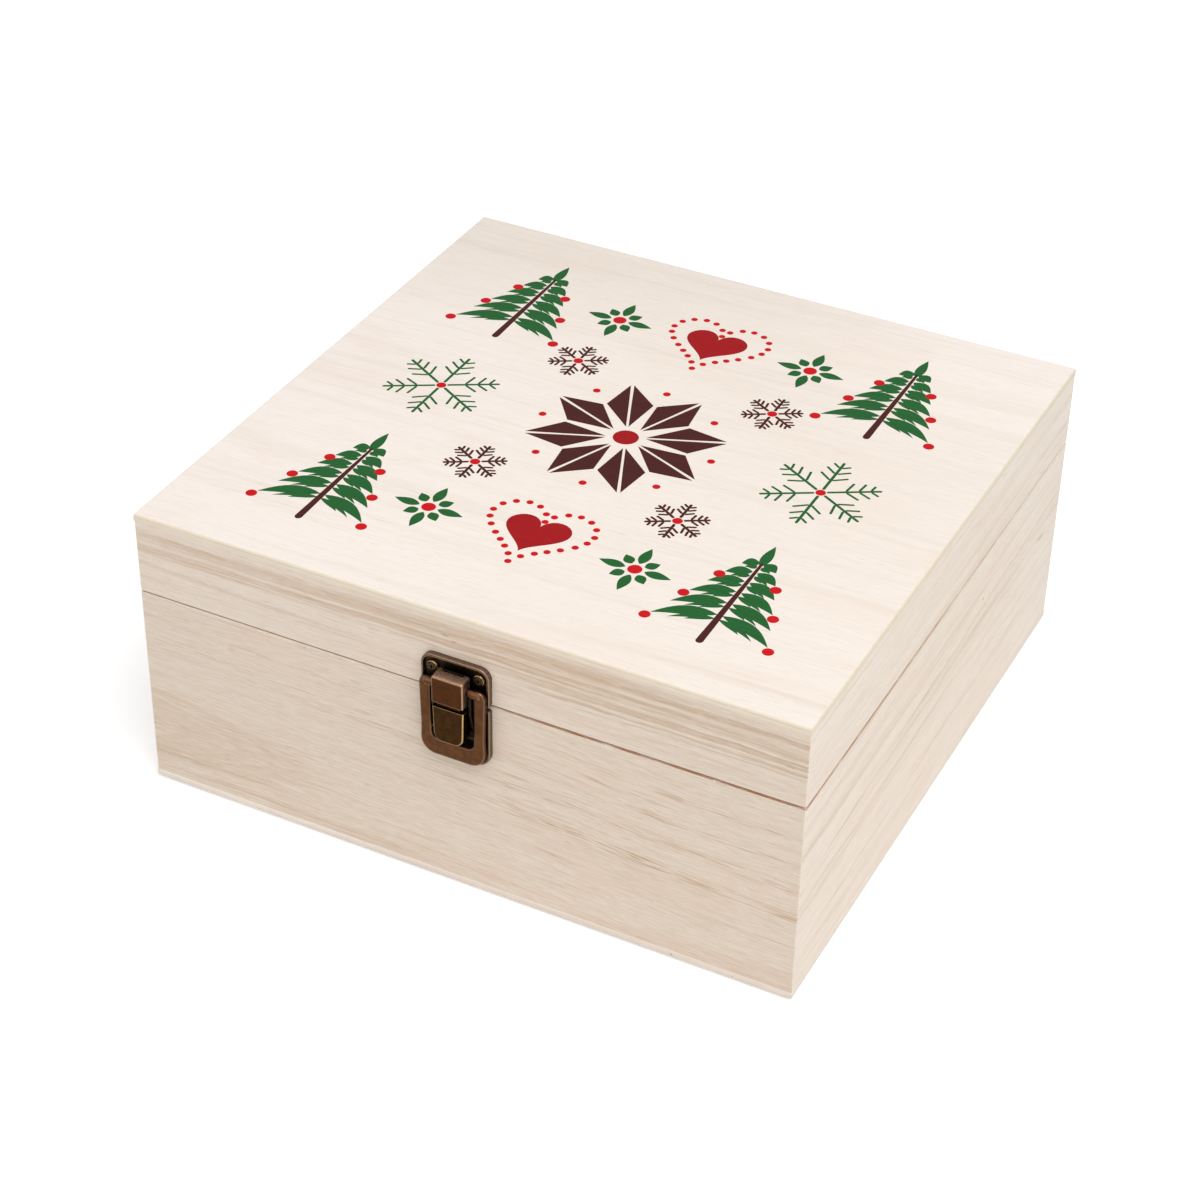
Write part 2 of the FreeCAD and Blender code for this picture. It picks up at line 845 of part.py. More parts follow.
def body_leaf(label, across):
    body = hinge_body(label, across)
    plan = [
        (-hinge_half, ZERO),
        (-hinge_half, -s.leaf_height),
        (hinge_half, -s.leaf_height),
        (hinge_half, ZERO),
        (outer_start, ZERO),
        (outer_start, -notch),
        (-outer_start, -notch),
        (-outer_start, ZERO),
    ]
    pad(body, outline(body, "XY_Plane", plan), s.leaf_thickness)
    fillet(body, s.leaf_corner, runs("Z"), level("Y", -s.leaf_height))
    knuckle(body, outer_start, hinge_half - outer_start)
    knuckle(body, -hinge_half, hinge_half - outer_start)
    bore_knuckles(body)
    for sign in (-1, 1):
        countersink(body, s.hinge_screw_x * sign, -s.hinge_screw_rise)


def lid_leaf(label, across):
    body = hinge_body(label, across)
    plan = [
        (-middle_half, ZERO),
        (middle_half, ZERO),
        (middle_half, notch),
        (hinge_half, notch),
        (hinge_half, s.leaf_height),
        (-hinge_half, s.leaf_height),
        (-hinge_half, notch),
        (-middle_half, notch),
    ]
    pad(body, outline(body, "XY_Plane", plan), s.leaf_thickness)
    fillet(body, s.leaf_corner, runs("Z"), level("Y", s.leaf_height))
    knuckle(body, -middle_half, middle_half * 2)
    inner = s.leaf_thickness + s.stop_clearance - knuckle_axis
    outer = inner + s.stop_thickness
    tail = [
        closed_place(ZERO, inner),
        closed_place(-s.stop_length, inner),
        closed_place(-s.stop_length, outer),
        closed_place(ZERO, outer),
    ]
    pad(body, outline(body, "YZ_Plane", tail), middle_half * 2, midplane=True)
    bore_knuckles(body)
    for sign in (-1, 1):
        countersink(body, s.hinge_screw_x * sign, s.hinge_screw_rise)


def hinge_pin(label, across):
    body = hinge_body(label, across)
    sizes = {"Radius": s.hinge_pin_radius, "Height": s.hinge_length}
    primitive(body, "AdditiveCylinder", sizes, -hinge_half, ZERO, knuckle_axis, ALONG_X)
    head = {"Radius": s.hinge_pin_head_radius, "Height": s.hinge_pin_head_height}
    for start in (-hinge_half - s.hinge_pin_head_height, hinge_half):
        primitive(body, "AdditiveCylinder", head, start, ZERO, knuckle_axis, ALONG_X)


hinge_screws = {"body": [], "lid": []}
for hinge, across in (("left", -s.hinge_place), ("right", s.hinge_place)):
    body_leaf(f"{hinge}_hinge_body_leaf", across)
    lid_leaf(f"{hinge}_hinge_lid_leaf", across)
    hinge_pin(f"{hinge}_hinge_pin", across)
    frame = FreeCAD.Placement(vector(across, half_depth, seam_middle), FACING_BACK)
    for part, rise in (("body", -s.hinge_screw_rise), ("lid", s.hinge_screw_rise)):
        for sign in (-1, 1):
            x = s.hinge_screw_x * sign
            depth = s.screw_length - s.leaf_thickness + s.hole_clearance
            height = seam_middle + rise
            drill(walls[part, "back"], screw_bore, depth, x - across, -half_depth, height, ALONG_Y)
            seat = FreeCAD.Placement(vector(x, rise, s.leaf_thickness), UPRIGHT)
            hinge_screws[part].append(frame.multiply(seat))
for part, placements in hinge_screws.items():
    group(f"hinge_{part}_screws", flat_screw, placements)

# Every object has to be sound before anything is written

doc.recompute()
FORMS = {"brad_form", "pan_screw_form", "flat_screw_form", "rivet_form"}
for item in doc.Objects:
    if "Invalid" in item.State or "Error" in item.State:
        raise RuntimeError(f"{item.Label} failed")
nodes = [
    item
    for item in doc.Objects
    if item.TypeId in ("PartDesign::Body", "Part::Feature") and item.Label not in FORMS
]
for node in nodes:
    if node.Shape.isNull() or not node.Shape.isValid():
        raise RuntimeError(f"{node.Label} has no valid shape")

os.makedirs("parts", exist_ok=True)
for node in nodes:
    node.Shape.exportStep(f"parts/{node.Label}.step")
print(f"{len(nodes)} parts written")
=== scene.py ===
import math

import bmesh
import bpy
from mathutils import Matrix, Vector
from mathutils.geometry import delaunay_2d_cdt


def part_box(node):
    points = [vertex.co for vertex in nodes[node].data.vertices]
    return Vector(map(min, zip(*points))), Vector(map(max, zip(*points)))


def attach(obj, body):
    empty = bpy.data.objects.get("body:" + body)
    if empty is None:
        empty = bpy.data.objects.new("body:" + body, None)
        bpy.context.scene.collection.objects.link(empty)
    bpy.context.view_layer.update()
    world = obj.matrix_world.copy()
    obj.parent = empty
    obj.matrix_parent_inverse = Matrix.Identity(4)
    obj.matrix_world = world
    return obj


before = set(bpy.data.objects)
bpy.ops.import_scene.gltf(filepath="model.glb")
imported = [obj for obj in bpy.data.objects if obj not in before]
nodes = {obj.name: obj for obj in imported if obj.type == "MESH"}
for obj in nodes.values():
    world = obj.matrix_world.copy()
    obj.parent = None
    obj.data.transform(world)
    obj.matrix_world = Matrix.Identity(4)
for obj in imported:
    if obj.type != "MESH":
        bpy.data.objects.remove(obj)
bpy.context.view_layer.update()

MM = 0.001
# Places on the box, in millimetres
LATCH_X = 0.6
SEAM_Z = 98.9
FRONT_Y = -147
RIGHT_X = 150


class Graph:
    """A material's node tree, built from short calls. Lengths inside it are in millimetres."""

    def __init__(self, name):
        self.material = bpy.data.materials.new(name)
        self.material.use_nodes = True
        self.tree = self.material.node_tree
        self.tree.nodes.clear()
        self.out = self.node("ShaderNodeOutputMaterial")
        self.shader = self.node("ShaderNodeBsdfPrincipled")
        self.tree.links.new(self.shader.outputs[0], self.out.inputs["Surface"])
        self.coords = self.node("ShaderNodeTexCoord")
        scaled = self.node("ShaderNodeVectorMath", operation="SCALE")
        self.tree.links.new(self.coords.outputs["Object"], scaled.inputs[0])
        scaled.inputs["Scale"].default_value = 1 / MM
        self.point = scaled.outputs[0]
        split = self.node("ShaderNodeSeparateXYZ")
        self.tree.links.new(self.point, split.inputs[0])
        self.x, self.y, self.z = split.outputs

    def node(self, kind, **settings):
        node = self.tree.nodes.new(kind)
        for key, value in settings.items():
            setattr(node, key, value)
        return node

    def put(self, socket, value):
        """A link where value is another node's output, and otherwise a number on the socket."""
        if isinstance(value, bpy.types.NodeSocket):
            self.tree.links.new(value, socket)
        else:
            socket.default_value = value

    def math(self, operation, *values):
        node = self.node("ShaderNodeMath", operation=operation)
        for socket, value in zip(node.inputs, values):
            self.put(socket, value)
        return node.outputs[0]

    def add(self, a, b):
        return self.math("ADD", a, b)

    def mul(self, a, b):
        return self.math("MULTIPLY", a, b)

    def sub(self, a, b):
        return self.math("SUBTRACT", a, b)

    def apart(self, a, b):
        return self.math("ABSOLUTE", self.sub(a, b))

    def hypot(self, a, b):
        return self.math("SQRT", self.add(self.mul(a, a), self.mul(b, b)))

    def vector(self, x, y, z):
        node = self.node("ShaderNodeCombineXYZ")
        for socket, value in zip(node.inputs, (x, y, z)):
            self.put(socket, value)
        return node.outputs[0]

    def cells(self, x, y, z):
        """Coordinates for a noise whose grains have these lengths."""
        sizes = zip((self.x, self.y, self.z), (x, y, z))
        return self.vector(*(self.math("DIVIDE", part, size) for part, size in sizes))

    def normal(self):
        """The three parts of the surface's direction."""
        split = self.node("ShaderNodeSeparateXYZ")
        self.put(split.inputs[0], self.coords.outputs["Normal"])
        return split.outputs

    def noise(self, vector, detail=2.0, roughness=0.5):
        node = self.node("ShaderNodeTexNoise")
        self.put(node.inputs["Vector"], vector)
        node.inputs["Scale"].default_value = 1.0
        node.inputs["Detail"].default_value = detail
        node.inputs["Roughness"].default_value = roughness
        return node.outputs["Fac"]

    def rise(self, value, low, high, start=0.0, end=1.0):
        """A smooth step from start at low to end at high."""
        node = self.node("ShaderNodeMapRange", interpolation_type="SMOOTHSTEP")
        for name, item in (("Value", value), ("From Min", low), ("From Max", high)):
            self.put(node.inputs[name], item)
        node.inputs["To Min"].default_value = start
        node.inputs["To Max"].default_value = end
        return node.outputs["Result"]

    def mix(self, factor, first, second):
        """A mix of two colours, by the numbered sockets of the node's colour mode."""
        node = self.node("ShaderNodeMix", data_type="RGBA", blend_type="MIX")
        for index, value in ((0, factor), (6, first), (7, second)):
            if isinstance(value, tuple):
                value = (*value, 1.0)
            self.put(node.inputs[index], value)
        return node.outputs[2]

    def bump(self, height, distance, strength=1.0):
        node = self.node("ShaderNodeBump")
        node.inputs["Strength"].default_value = strength
        node.inputs["Distance"].default_value = distance * MM
        self.put(node.inputs["Height"], height)
        self.put(self.shader.inputs["Normal"], node.outputs[0])

    def surface(self, colour, roughness, metallic=0.0, specular=0.3):
        self.put(self.shader.inputs["Base Color"], colour)
        self.put(self.shader.inputs["Roughness"], roughness)
        self.shader.inputs["Metallic"].default_value = metallic
        self.shader.inputs["Specular IOR Level"].default_value = specular


# Wood: pale boards with long streaks, fine fibres and short open pores

PALE = (0.8, 0.683, 0.565)
STREAK = (0.6, 0.42, 0.28)
PORE = (0.42, 0.27, 0.17)
BRIGHT_FIBRE = (0.95, 0.89, 0.82)
MOTTLE = (0.86, 0.64, 0.5)
JITTER = 2.2
SPAN_FADE = 25


class Wood(Graph):
    """A board with its grain along one axis. Streaks and figures go on before it is finished."""

    def __init__(self, name, along, across, pale, seed, tilt=0.0, waver=5.0, sag=0.0):
        super().__init__(name)
        axes = {"x": self.x, "y": self.y, "z": self.z}
        self.along = axes[along]
        self.across = axes[across]
        self.depth = axes[({"x", "y", "z"} - {along, across}).pop()]
        self.seed = seed * 173.0
        slow = self.noise(self.grain(150, 26, 40), 2.0)
        jitter = self.noise(self.grain(26, 5, 9), 2.0)
        slow = self.mul(self.add(slow, -0.5), waver)
        warp = self.add(slow, self.mul(self.add(jitter, -0.5), JITTER))
        self.level = self.add(self.add(self.across, warp), self.mul(self.along, tilt))
        if sag:
            self.level = self.add(self.level, self.rise(self.along, -40, 160, 0.0, sag))
        self.colour = pale
        bands = self.noise(self.grain(260, 6.5, 22, bent=True), 3.0, 0.6)
        self.bands = self.rise(bands, 0.47, 0.72)
        zones = self.rise(self.noise(self.grain(130, 17, 30), 2.0), 0.4, 0.62)
        lines = self.noise(self.grain(80, 1.35, 8, bent=True), 3.0, 0.62)
        self.lines = self.mul(self.rise(lines, 0.54, 0.72), zones)
        coarse = self.noise(self.grain(16, 0.72, 0.9, bent=True), 2.0, 0.65)
        speckle = self.noise(self.grain(5.0, 0.4, 0.5, bent=True), 1.0)
        self.fibre = self.add(self.mul(coarse, 0.62), self.mul(speckle, 0.38))
        dashes = self.noise(self.grain(10.0, 0.6, 0.7, bent=True), 1.0)
        where = self.rise(self.noise(self.grain(90, 9, 20, bent=True), 2.0), 0.42, 0.66)
        self.pores = self.mul(self.rise(dashes, 0.66, 0.76), where)

    def grain(self, length, width, thick, bent=False):
        """Coordinates stretched along the grain."""
        across = self.level if bent else self.across
        return self.vector(
            self.math("DIVIDE", self.add(self.along, self.seed), length),
            self.math("DIVIDE", across, width),
            self.math("DIVIDE", self.add(self.depth, self.seed), thick),
        )

    def tint(self, mask, strength, shade):
        """Moves the board's colour toward a shade where the mask is 1."""
        self.colour = self.mix(self.mul(mask, strength), self.colour, shade)

    def streak(
        self, place, width, strength, span=None, lean=0.0, shade=STREAK, soft=1.0, fine=False
    ):
        """A long streak at a height, over a span of the board, or a bundle of fine broken lines."""
        centre = self.add(self.mul(self.along, lean), place)
        off = self.apart(self.level, centre)
        mask = self.rise(off, width * (1 - 0.7 * soft), width * (1 + 0.5 * soft), 1.0, 0.0)
        if span:
            first, last = span
            mask = self.mul(mask, self.rise(self.along, first - SPAN_FADE, first + SPAN_FADE))
            fade = self.rise(self.along, last - SPAN_FADE, last + SPAN_FADE, 1.0, 0.0)
            mask = self.mul(mask, fade)
        if fine:
            broken = self.noise(self.grain(20, 0.6, 1.4, bent=True), 2.0)
            broken = self.rise(broken, 0.48, 0.64)
        else:
            broken = self.noise(self.grain(160, 1.5, 9, bent=True), 2.0)
            broken = self.rise(broken, 0.3, 0.62)
        self.tint(self.mul(mask, broken), strength, shade)

    def flame(self, tip, height, steep, strength, side=-1.0):
        """A flat-sawn figure: nested curved rings that open away from their tip."""
        rise = self.sub(self.level, height)
        reach = self.mul(self.sub(self.along, tip), side)
        depth = self.sub(reach, self.mul(self.mul(rise, rise), steep))
        fill = self.rise(depth, -6, 22)
        rings = self.noise(self.vector(self.math("DIVIDE", depth, 9), self.seed, 0.0), 2.0)
        self.tint(self.mul(fill, self.rise(rings, 0.3, 0.65, 0.35, 1.0)), strength, STREAK)

    def fleck(self, along, across, length, width, strength=0.7, axis=None):
        """A small dark mark, placed across the grain or along another axis."""
        u = self.math("DIVIDE", self.sub(self.along, along), length)
        v = self.math("DIVIDE", self.sub(axis or self.across, across), width)
        self.tint(self.rise(self.hypot(u, v), 0.3, 1.0, 1.0, 0.0), strength, PORE)

    def layers(self, low, plies, pale):
        """The edge of a plywood panel: thin plies, glue lines and any painted highlight and shade
        lines that the list gives, on all but the flat faces.
        """
        upright = self.rise(self.math("ABSOLUTE", self.normal()[2]), 0.8, 0.97, 1.0, 0.0)
        uneven = self.noise(self.cells(14, 14, 14), 3.0)
        height = self.add(self.z, self.mul(self.add(uneven, -0.5), 0.5))
        self.tint(upright, 0.9, pale)
        for place, width, strength, shade in plies:
            line = self.rise(self.apart(height, low + place), width * 0.4, width, 1.0, 0.0)
            worn = self.rise(uneven, 0.3, 0.6, 0.45, 1.0)
            self.tint(self.mul(self.mul(line, upright), worn), strength, shade)

    def seam(
        self, place, half, start, end, outside, reach=(-150, 150), shade=(0.42, 0.24, 0.12)
    ):
        """A painted shade line along the outer edge at the gap between lid and body, which changes
        over a reach of the board.
        """
        # Painted shade along the gap between lid and body, broken into patches by noise.
        line = self.rise(self.apart(self.z, place), half * 0.7, half * 1.3, 1.0, 0.0)
        worn = self.noise(self.grain(11, 3, 9), 2.0)
        line = self.mul(line, self.rise(worn, 0.25, 0.6, 0.6, 1.0))
        inward = self.apart(self.depth, outside)
        line = self.mul(line, self.rise(inward, 0.35, 0.5, 1.0, 0.0))
        self.tint(self.mul(line, self.rise(self.along, *reach, start, end)), 1.0, shade)

    def finish(self, streaks=0.2, fibres=0.2, pores=0.4, shade=STREAK, lines=0.2):
        """Bands, lines, fibres and pores over all the rest, and then the finished material."""
        self.tint(self.bands, streaks, shade)
        self.tint(self.lines, lines, shade)
        self.tint(self.rise(self.fibre, 0.48, 0.64), fibres, shade)
        self.tint(self.rise(self.fibre, 0.36, 0.5, 1.0, 0.0), fibres, BRIGHT_FIBRE)
        self.tint(self.pores, pores, PORE)
        mottle = self.noise(self.grain(55, 22, 30), 2.0)
        self.tint(self.rise(mottle, 0.5, 0.75), 0.16, MOTTLE)
        self.surface(self.colour, self.rise(self.fibre, 0.2, 0.8, 0.52, 0.7), specular=0.25)
        self.bump(self.sub(self.fibre, self.pores), 0.05, 0.5)
        return self.material


# Painted light toward the back end of the right-hand boards.
PAINTED_LIGHT_END = (0.98, 0.91, 0.84)
FINE_LINE = (0.54, 0.36, 0.22)
# Colour of the painted shade in the gap between lid and body on the front boards.
FRONT_SEAM_SHADE = (0.36, 0.125, 0.03)
LATCH_REACH = (-20, 40)


def lid_front():
    wood = Wood("lid_front_wood", "x", "z", (0.83, 0.712, 0.595), 1, waver=4.0)
    for place, width, strength, span, lean in (
        (129.0, 2.6, 0.85, (-150, 170), 0.0),
        (124.6, 1.6, 0.75, (-170, 150), -0.004),
        (121.2, 2.4, 0.88, (-170, 170), -0.006),
        (117.4, 1.3, 0.65, (20, 170), 0.0),
        (113.6, 1.8, 0.8, (30, 170), 0.0),
        (109.6, 1.4, 0.42, (-170, -30), -0.03),
        (104.6, 0.7, 0.4, (-120, -10), -0.02),
    ):
        wood.streak(place, width, strength, span, lean)
    # Painted light toward the left end and painted shade toward the right end of the board.
    wood.tint(wood.rise(wood.x, -140, 20, 1.0, 0.0), 0.16, (0.98, 0.9, 0.82))
    wood.tint(wood.rise(wood.x, 0, 140), 0.1, (0.6, 0.5, 0.42))
    wood.fleck(-5, 126.5, 2.6, 0.8)
    wood.fleck(-1, 124.6, 1.6, 0.5)
    wood.seam(SEAM_Z + 0.3, 0.5, 0.0, 1.0, FRONT_Y, LATCH_REACH, FRONT_SEAM_SHADE)
    return wood.finish(0.22, 0.26, 0.5, lines=0.3)


def body_front():
    wood = Wood("body_front_wood", "x", "z", PALE, 2, waver=5.0, sag=8.0)
    wood.flame(-55, 31, 0.24, 0.3)
    wood.flame(40, -12, 0.16, 0.26, side=1.0)
    wood.streak(8.5, 3.2, 0.5, (-140, -5))
    wood.streak(13, 3.0, 0.24, (-5, 50), shade=(0.86, 0.58, 0.47))
    for place, width, strength, span, lean in (
        (90.5, 1.3, 0.75, (40, 170), 0.0),
        (84.5, 0.9, 0.6, (-10, 120), -0.01),
        (76.8, 1.7, 0.7, (10, 170), 0.0),
        (70.0, 1.2, 0.6, (-70, 60), -0.015),
        (65.2, 2.2, 0.75, (-10, 170), 0.0),
        (52.0, 3.0, 0.85, (10, 170), 0.0),
        (57.5, 1.1, 0.6, (-40, 70), -0.01),
        (36.0, 1.2, 0.5, (20, 130), 0.0),
        (83.0, 1.0, 0.55, (-150, -40), -0.03),
        (73.5, 0.9, 0.5, (-140, -20), -0.02),
    ):
        wood.streak(place, width, strength, span, lean, FINE_LINE, fine=True)
    wood.streak(20.0, 1.6, 0.4, (-170, -75), 0.02)
    foot = wood.rise(wood.sub(wood.level, wood.mul(wood.along, 0.148)), 1.5, 5.0, 1.0, 0.0)
    wood.tint(wood.mul(foot, wood.rise(wood.along, 10, 60)), 0.26, (0.7, 0.48, 0.37))
    wood.fleck(-106.5, 84.5, 2.6, 3.6, 0.16)
    wood.fleck(-112.5, 24, 1.0, 0.5)
    wood.seam(SEAM_Z, 0.4, 0.0, 1.0, FRONT_Y, LATCH_REACH, FRONT_SEAM_SHADE)
    return wood.finish(0.16, 0.28, 0.5, lines=0.5)


def lid_right():
    wood = Wood("lid_right_wood", "y", "z", (0.91, 0.81, 0.705), 3, waver=3.0)
    wood.streak(101.0, 3.6, 0.36, (-110, 170), 0.022)
    wood.streak(108.5, 2.6, 0.3, (10, 170), 0.02)
    wood.streak(132.2, 0.4, 0.3, (-170, 40), 0.012)
    # Painted light toward the back end of the board.
    wood.tint(wood.rise(wood.y, 0, 140), 0.3, PAINTED_LIGHT_END)
    wood.seam(SEAM_Z + 0.4, 0.75, 0.9, 0.3, RIGHT_X)
    return wood.finish(0.12, 0.18, 0.3, lines=0.22)


def body_right():
    wood = Wood("body_right_wood", "y", "z", (0.91, 0.805, 0.7), 4, waver=11.0)
    for place, width, strength, span, lean in (
        (92.5, 1.5, 0.35, (-170, -40), 0.03),
        (78.0, 3.2, 0.3, (-170, 40), 0.02),
        (66.0, 1.2, 0.35, (-130, 170), 0.05),
        (62.0, 2.2, 0.3, (-60, 170), 0.03),
        (50.0, 1.8, 0.34, (-170, 10), 0.02),
        (46.0, 0.6, 0.3, (-170, -50), 0.02),
        (30.0, 0.5, 0.25, (-130, 110), 0.03),
    ):
        wood.streak(place, width, strength, span, lean)
    # Painted light toward the back end of the board.
    wood.tint(wood.rise(wood.y, 20, 140), 0.25, PAINTED_LIGHT_END)
    wood.fleck(47, 74.5, 1.4, 0.7, 0.8)
    wood.fleck(124, 60.5, 7.0, 1.2, 0.45)
    wood.seam(SEAM_Z - 0.1, 0.65, 0.9, 0.3, RIGHT_X)
    return wood.finish(0.14, 0.2, 0.35, lines=0.36)


def plain_board(name, along, seed):
    """A board at the left or back, which the photograph doesn't show."""
    wood = Wood(name, along, "z", (0.865, 0.75, 0.645), seed, waver=7.0)
    wood.flame(30 - 20 * seed, 10 * seed, 0.2, 0.22)
    wood.streak(105, 2.6, 0.4)
    wood.streak(125, 1.8, 0.4)
    wood.streak(60, 2.2, 0.3)
    return wood.finish(0.14)


def top_wood():
    wood = Wood("lid_top_wood", "x", "y", (0.925, 0.835, 0.755), 5, waver=9.0, tilt=-0.02)
    grey = (0.74, 0.62, 0.52)
    wood.streak(127.0, 4.0, 0.3, lean=0.03, shade=grey)
    wood.streak(72.0, 1.2, 0.36, (-40, 170), 0.0, shade=grey, soft=0.6)
    wood.streak(60.0, 9.0, 0.12, (-20, 170), 0.0, shade=grey)
    wood.streak(-32.0, 1.0, 0.2, (95, 170), 0.02, shade=grey)
    wood.streak(6.0, 6.0, 0.14, (-170, -60), 0.0, shade=grey)
    wood.streak(-136.0, 1.2, 0.2, (60, 170), 0.0, shade=grey)
    # Painted shade toward the back left, and painted light over the front left and the back right
    # of the lid's top.
    back_left = wood.add(wood.mul(wood.x, -0.4), wood.y)
    wood.tint(wood.rise(back_left, 40, 210), 0.2, (0.72, 0.66, 0.6))
    left = wood.rise(wood.x, -130, 90, 1.0, 0.0)
    left = wood.mul(left, wood.rise(wood.y, 30, 120, 1.0, 0.0))
    back_right = wood.mul(wood.rise(wood.x, 0, 110), wood.rise(wood.y, 30, 120))
    wood.tint(wood.math("MAXIMUM", left, back_right), 0.8, (0.985, 0.9, 0.83))
    edge = [
        (0.2, 0.5, 0.35, (0.78, 0.62, 0.44)),
        (1.9, 0.3, 0.45, (0.66, 0.5, 0.36)),
    ]
    wood.layers(134.0, edge, (0.85, 0.755, 0.6))
    return wood.finish(0.2, 0.2, 0.22, grey, 0.24)


def bottom_wood():
    wood = Wood("bottom_ply", "x", "y", (0.88, 0.77, 0.67), 6, waver=6.0)
    # Lines on the ply edge by height, width, strength and shade: the ivory line at 4.75 is a
    # painted highlight along the top edge and the grey line at 0.55 is painted shade along the
    # bottom; the rest are plies and a glue line.
    edge = [
        (3.1, 1.5, 0.28, (0.68, 0.58, 0.51)),
        (4.75, 0.5, 0.75, (0.99, 0.93, 0.85)),
        (2.2, 0.3, 0.6, (0.62, 0.46, 0.34)),
        (1.45, 0.5, 0.8, (0.99, 0.92, 0.84)),
        (0.55, 0.4, 0.6, (0.6, 0.52, 0.45)),
    ]
    wood.layers(0.0, edge, (0.95, 0.855, 0.765))
    # Painted shade toward the right end of the bottom edge.
    wood.tint(wood.rise(wood.x, -60, 120), 0.4, (0.8, 0.7, 0.6))
    wood.fleck(97, 3.0, 0.8, 0.7, 0.7, axis=wood.z)
    wood.fleck(124, 2.7, 0.7, 0.6, 0.45, axis=wood.z)
    return wood.finish(0.12, 0.12, 0.2, lines=0.06)


# Metal: cast and rubbed bronze with a dark patina, bright where hands and edges wear it, with
# painted highlight on edges and lit faces, and painted shade in hollows

# Near-black of patina and painted shade in hollows, also painted shade in the zone behind the
# latch.
PATINA_AND_SHADE = (0.006, 0.005, 0.004)
PATINA_AND_SHADE_REACH = 3.0
EDGE_WEAR_AND_SHEEN_RADIUS = 0.5


def bronze(
    name, base, dark, worn, rough, cast,
    edges=0.9, rim=0.0, ring=None, shaded_zone=None, lit_flank=None, sides=1.0,
):
    """Patina over a base colour: black in hollows as patina and painted shade, worn on edges and
    rounded rims with a painted highlight, and worn on a screw's ring.

    A flank colour is painted light on the faces that look up or sideways, sides is the share of the
    patina and painted shade there, and a zone inside a half width and under a height is painted
    shade.
    """
    metal = Graph(name)
    fine = metal.noise(metal.cells(0.3, 0.3, 0.3), 3.0)
    blotch = metal.noise(metal.cells(2.6, 2.6, 2.6), 4.0)
    rub = metal.rise(metal.add(fine, metal.mul(blotch, 0.6)), 0.55, 0.95)
    colour = metal.mix(metal.rise(blotch, 0.35, 0.7), base, dark)
    sideways, inward, upward = metal.normal()
    # Painted light: the flank colour lightens faces that look up or sideways.
    if lit_flank:
        turned = metal.math("MAXIMUM", upward, metal.math("ABSOLUTE", sideways))
        turned = metal.mul(metal.rise(turned, 0.5, 0.85), metal.rise(fine, 0.35, 0.65, 0.4, 1.0))
        colour = metal.mix(turned, colour, lit_flank)
    facing = metal.mul(inward, -1.0)
    # Rounded rims turned partly to the front take the worn colour: rubbed wear with a painted
    # highlight.
    if rim:
        band = metal.mul(metal.rise(facing, 0.3, 0.55), metal.rise(facing, 0.8, 0.96, 1.0, 0.0))
        band = metal.mul(band, metal.rise(rub, 0.0, 0.6, 0.55, 1.0))
        colour = metal.mix(metal.mul(band, rim), colour, worn)
    # Ambient occlusion paints black into hollows: dark patina and painted shade together.
    hollow = metal.node("ShaderNodeAmbientOcclusion", samples=8)
    hollow.inputs["Distance"].default_value = PATINA_AND_SHADE_REACH * MM
    patina_and_shade = metal.rise(hollow.outputs["AO"], 0.3, 0.85, 0.95, 0.0)
    # Less of it on faces turned away from the front, which paints those faces lighter.
    patina_and_shade = metal.mul(patina_and_shade, metal.rise(facing, 0.1, 0.4, sides, 1.0))
    colour = metal.mix(patina_and_shade, colour, PATINA_AND_SHADE)
    # Edges take the worn colour: rubbed wear with a painted highlight along them.
    soft = metal.node("ShaderNodeBevel", samples=8)
    soft.inputs["Radius"].default_value = EDGE_WEAR_AND_SHEEN_RADIUS * MM
    geometry = metal.node("ShaderNodeNewGeometry")
    dot = metal.node("ShaderNodeVectorMath", operation="DOT_PRODUCT")
    metal.put(dot.inputs[0], soft.outputs[0])
    metal.put(dot.inputs[1], geometry.outputs["Normal"])
    edge = metal.rise(dot.outputs["Value"], 0.92, 0.997, 1.0, 0.0)
    outer = metal.rise(hollow.outputs["AO"], 0.45, 0.8)
    edge = metal.mul(metal.mul(edge, outer), metal.rise(rub, 0.0, 0.6, 0.5, 1.0))
    colour = metal.mix(metal.mul(edge, edges), colour, worn)
    across = metal.apart(metal.x, LATCH_X)
    if ring:
        spacing, height, inner = ring
        radius = metal.hypot(metal.sub(across, spacing), metal.sub(metal.z, SEAM_Z + height))
        worn_ring = metal.rise(radius, inner - 0.15, inner + 0.15)
        worn_ring = metal.mul(worn_ring, metal.rise(rub, 0.0, 0.5, 0.4, 1.0))
        colour = metal.mix(worn_ring, colour, worn)
    # Painted shade: black over the plate inside the latch, where the link and hook throw shade.
    if shaded_zone:
        half, height = shaded_zone
        inside = metal.mul(
            metal.rise(across, half - 0.3, half + 0.3, 1.0, 0.0),
            metal.rise(metal.z, SEAM_Z + height - 0.5, SEAM_Z + height, 1.0, 0.0),
        )
        colour = metal.mix(metal.mul(inside, 0.75), colour, PATINA_AND_SHADE)
    roughness = metal.rise(fine, 0.25, 0.8, rough - 0.08, rough + 0.14)
    metal.surface(colour, roughness, metallic=1.0, specular=0.5)
    metal.bump(metal.add(metal.mul(fine, 0.5), blotch), cast)
    return metal.material


# The plate's flank colour is painted light on its sides and top, and its zone behind the link is
# painted shade.
PLATE = bronze(
    "aged_bronze_cast",
    (0.1, 0.058, 0.034), (0.05, 0.032, 0.022), (0.36, 0.23, 0.13), 0.42, 0.16,
    rim=0.75, shaded_zone=(9.9, 16.0), lit_flank=(0.24, 0.18, 0.14), sides=0.4,
)
LEVER = bronze(
    "aged_bronze_lever",
    (0.105, 0.042, 0.0145), (0.072, 0.03, 0.012), (0.24, 0.14, 0.09), 0.36, 0.05,
    edges=0.25, rim=0.45,
)
